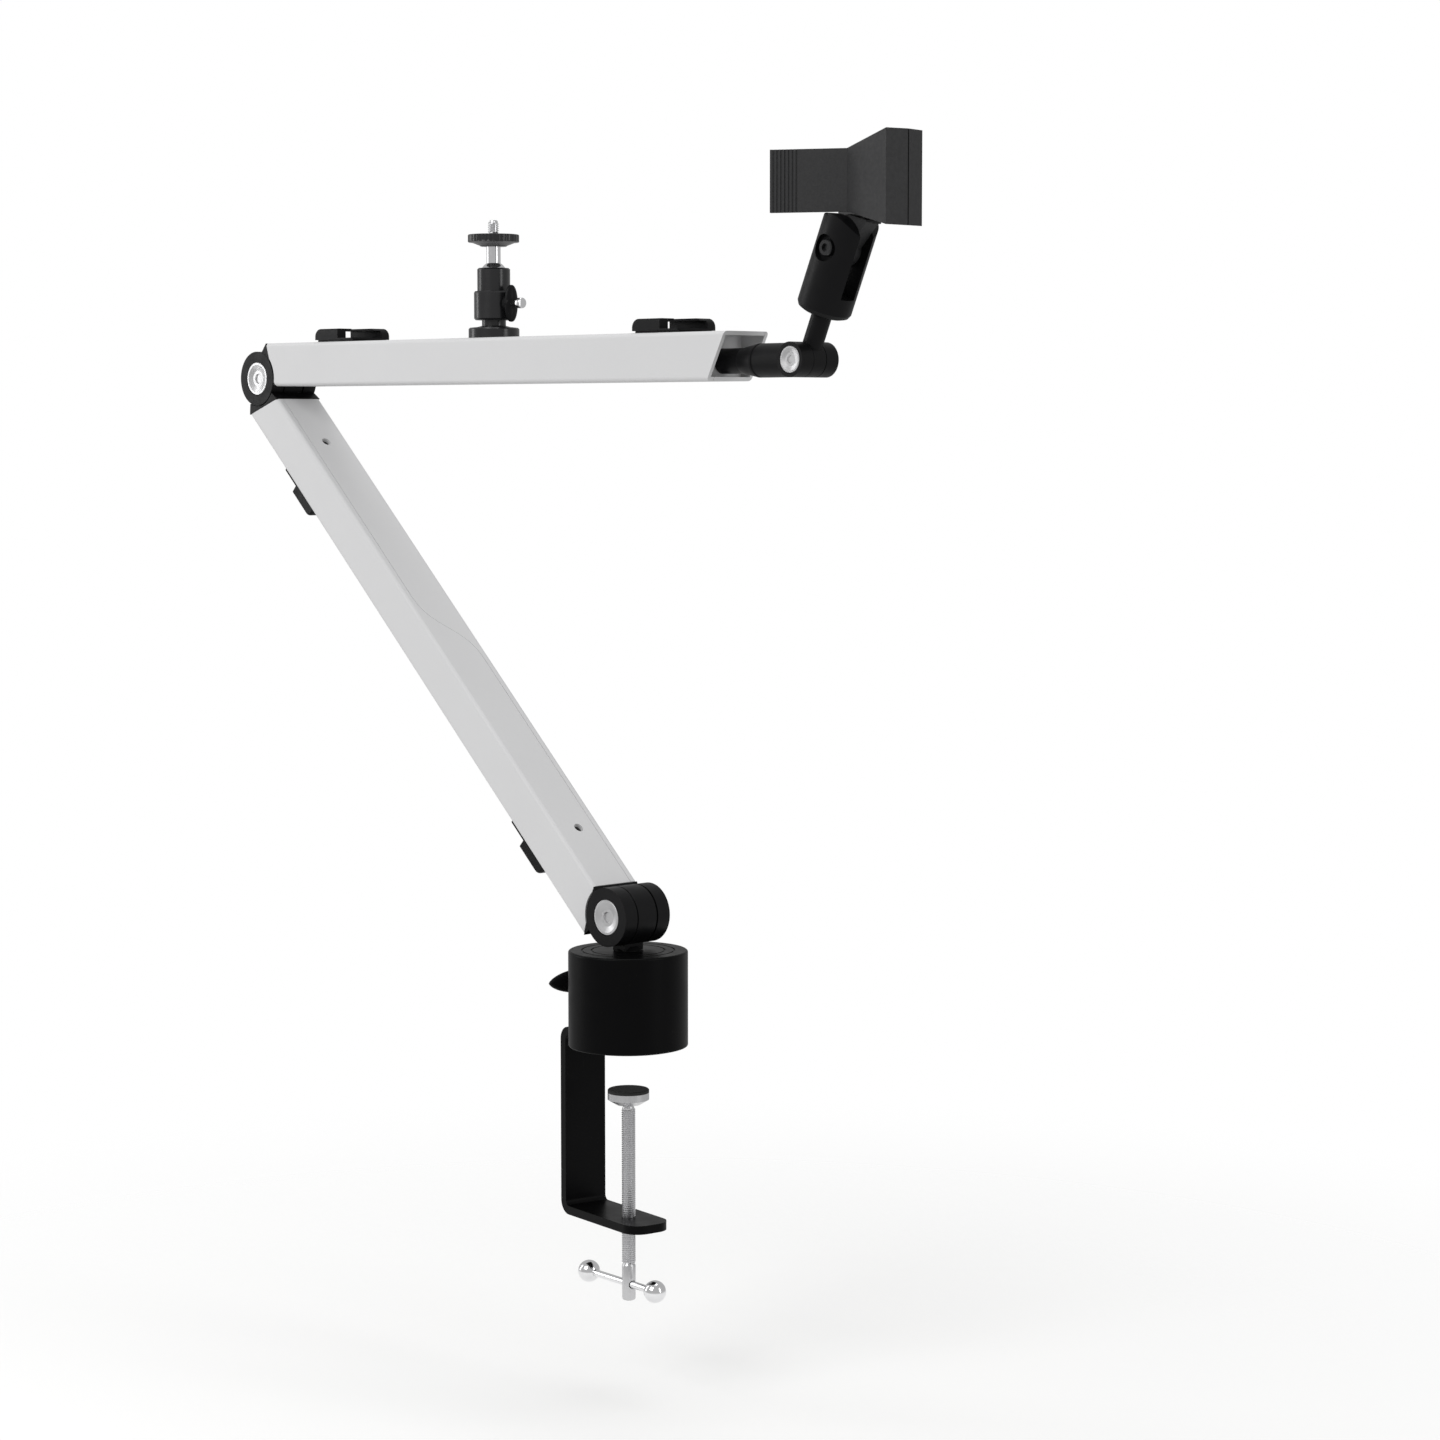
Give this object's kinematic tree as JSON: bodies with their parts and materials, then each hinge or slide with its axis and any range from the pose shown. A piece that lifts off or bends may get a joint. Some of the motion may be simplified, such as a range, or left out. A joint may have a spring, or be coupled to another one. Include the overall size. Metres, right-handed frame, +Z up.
{
  "type": "desk clamp holder stand",
  "caption": "Desk-clamp boom arm with two white links, cable clips, a small camera ball head and a sprung tilting tool holder at the end.",
  "frame": {"origin": "on the desk surface, on the axis of the round base", "axes": "+Z up; the arms lie in the XZ plane and the upper arm points along +X; the clamp is turned 8 degrees clockwise about Z"},
  "size_m": [0.564, 0.069, 0.659],
  "materials": {
    "white_paint": "satin powder coat",
    "black_paint": "fine satin black",
    "black_plastic": "fine moulded texture",
    "holder_plastic": "coarser moulded grain",
    "zinc_core": "cast, machined bore",
    "steel": "zinc plated",
    "bright_steel": "nickel plated",
    "aluminium": "turned and dished",
    "black_metal": "black anodised, satin",
    "brass": "turned",
    "nylon": "plain",
    "rubber": "matte"
  },
  "bodies": {
    "base": {"clamp_bracket": "black_paint", "base_pad": "rubber", "base_core": "zinc_core", "base_cover": "black_paint", "base_bolts": "steel"},
    "clamp_pad": {"pressure_pad": "steel", "pad_rubber": "rubber"},
    "clamp_spindle": {"clamp_screw": "steel"},
    "tommy": {"tommy_bar": "bright_steel", "tommy_balls": "bright_steel"},
    "lock_slider": {"lock_shoe": "brass"},
    "lock_handle": {"lock_screw": "steel", "lock_knob": "black_plastic"},
    "swivel": {"swivel_post": "black_plastic", "shoulder_bush": "nylon"},
    "lower_arm": {"lower_front_shell": "white_paint", "lower_rear_shell": "white_paint", "shoulder_fork": "black_plastic", "elbow_tongue": "black_plastic", "lower_arm_screws": "black_metal", "lower_cable_clip": "black_plastic", "middle_cable_clip": "black_plastic", "shoulder_pin": "aluminium", "shoulder_nut": "aluminium", "shoulder_washers": "nylon", "elbow_bush": "nylon"},
    "upper_arm": {"upper_front_shell": "white_paint", "upper_rear_shell": "white_paint", "elbow_fork": "black_plastic", "wrist_socket": "white_paint", "upper_arm_screws": "black_metal", "upper_cable_clip": "black_plastic", "front_cable_clip": "black_plastic", "elbow_pin": "aluminium", "elbow_nut": "aluminium", "elbow_washers": "nylon", "ball_flange": "black_metal", "ball_mount_screw": "steel", "ball_body": "black_metal"},
    "ball_lock": {"ball_lock_screw": "bright_steel", "ball_lock_knob": "black_plastic"},
    "ball": {"camera_ball": "bright_steel"},
    "ball_post": {"ball_stem": "bright_steel"},
    "camera_head": {"camera_plate": "black_metal", "camera_stud": "bright_steel"},
    "wrist": {"wrist_neck": "black_plastic", "wrist_retainer": "steel", "wrist_pin": "aluminium", "wrist_nut": "aluminium"},
    "holder_post": {"wrist_stem": "black_plastic", "thread_insert": "brass", "yoke": "black_plastic", "tilt_screw": "black_metal", "tilt_nut": "brass"},
    "holder": {"fixed_jaw": "holder_plastic", "jaw_pin": "steel", "rear_jaw_pad": "rubber", "jaw_spring": "steel"},
    "jaw": {"moving_jaw": "holder_plastic", "front_jaw_pad": "rubber"}
  },
  "joints": [
    {"name": "base_swivel", "type": "hinge", "parent": "base", "child": "swivel", "pos_m": [0, 0, 0.03], "axis": [0, 0, 1], "continuous": true},
    {"name": "shoulder", "type": "hinge", "parent": "swivel", "child": "lower_arm", "pos_m": [0, 0, 0.0765], "axis": [0, -1, 0], "range_deg": [-75, 24]},
    {"name": "elbow", "type": "hinge", "parent": "lower_arm", "child": "upper_arm", "pos_m": [-0.32949, 0, 0.38592], "axis": [0, -1, 0], "range_deg": [-17, 130]},
    {"name": "wrist_roll", "type": "hinge", "parent": "upper_arm", "child": "wrist", "pos_m": [0.14451, 0, 0.39192], "axis": [1, 0, 0], "range_deg": [-170, 170]},
    {"name": "wrist_hinge", "type": "hinge", "parent": "wrist", "child": "holder_post", "pos_m": [0.14451, 0, 0.39192], "axis": [0, -1, 0], "range_deg": [-120, 24]},
    {"name": "clip_tilt", "type": "hinge", "parent": "holder_post", "child": "holder", "pos_m": [0.17042, 0, 0.45011], "axis": [0, -1, 0], "range_deg": [-90, 55]},
    {"name": "jaw_open", "type": "hinge", "parent": "holder", "child": "jaw", "pos_m": [0.18, 0, 0.4853], "axis": [0, 0, -1], "range_deg": [0, 35], "stiffness_Nm_per_rad": 0.25, "springref_deg": -28.65, "deforming": ["jaw_spring"]},
    {"name": "ball_pan", "type": "hinge", "parent": "upper_arm", "child": "ball", "pos_m": [-0.1165, 0, 0.44502], "axis": [0, 0, 1], "continuous": true},
    {"name": "ball_tilt", "type": "hinge", "parent": "ball", "child": "ball_post", "pos_m": [-0.1165, 0, 0.44502], "axis": [0, -1, 0], "range_deg": [-25, 25]},
    {"name": "ball_spin", "type": "hinge", "parent": "ball_post", "child": "camera_head", "pos_m": [-0.1165, 0, 0.44502], "axis": [0, 0, 1], "continuous": true},
    {"name": "ball_lock_turn", "type": "hinge", "parent": "upper_arm", "child": "ball_lock", "pos_m": [-0.1, 0, 0.42801], "axis": [1, 0, 0], "range_deg": [0, 180]},
    {"name": "lock_travel", "type": "slide", "parent": "base", "child": "lock_slider", "axis": [-0.9903, 0.1392, 0], "range_m": [0, 0.002]},
    {"name": "lock_knob_turn", "type": "hinge", "parent": "lock_slider", "child": "lock_handle", "pos_m": [-0.03961, 0.00557, 0.0325], "axis": [-0.9903, 0.1392, 0], "range_deg": [0, 721]},
    {"name": "pad_travel", "type": "slide", "parent": "base", "child": "clamp_pad", "axis": [0, 0, 1], "range_m": [-0.055, 0.022]},
    {"name": "clamp_screw_turn", "type": "hinge", "parent": "clamp_pad", "child": "clamp_spindle", "pos_m": [0, 0, -0.1], "axis": [0, 0, 1], "range_deg": [-15841, 6337]},
    {"name": "tommy_bar_slide", "type": "slide", "parent": "clamp_spindle", "child": "tommy", "axis": [0.9969, -0.0785, 0], "range_m": [-0.0134, 0.0272]}
  ],
  "couplings": [
    {"joint": "clamp_screw_turn", "follows": "pad_travel", "rad_per_m": 5026.5},
    {"joint": "lock_knob_turn", "follows": "lock_travel", "rad_per_m": 6283.2}
  ]
}
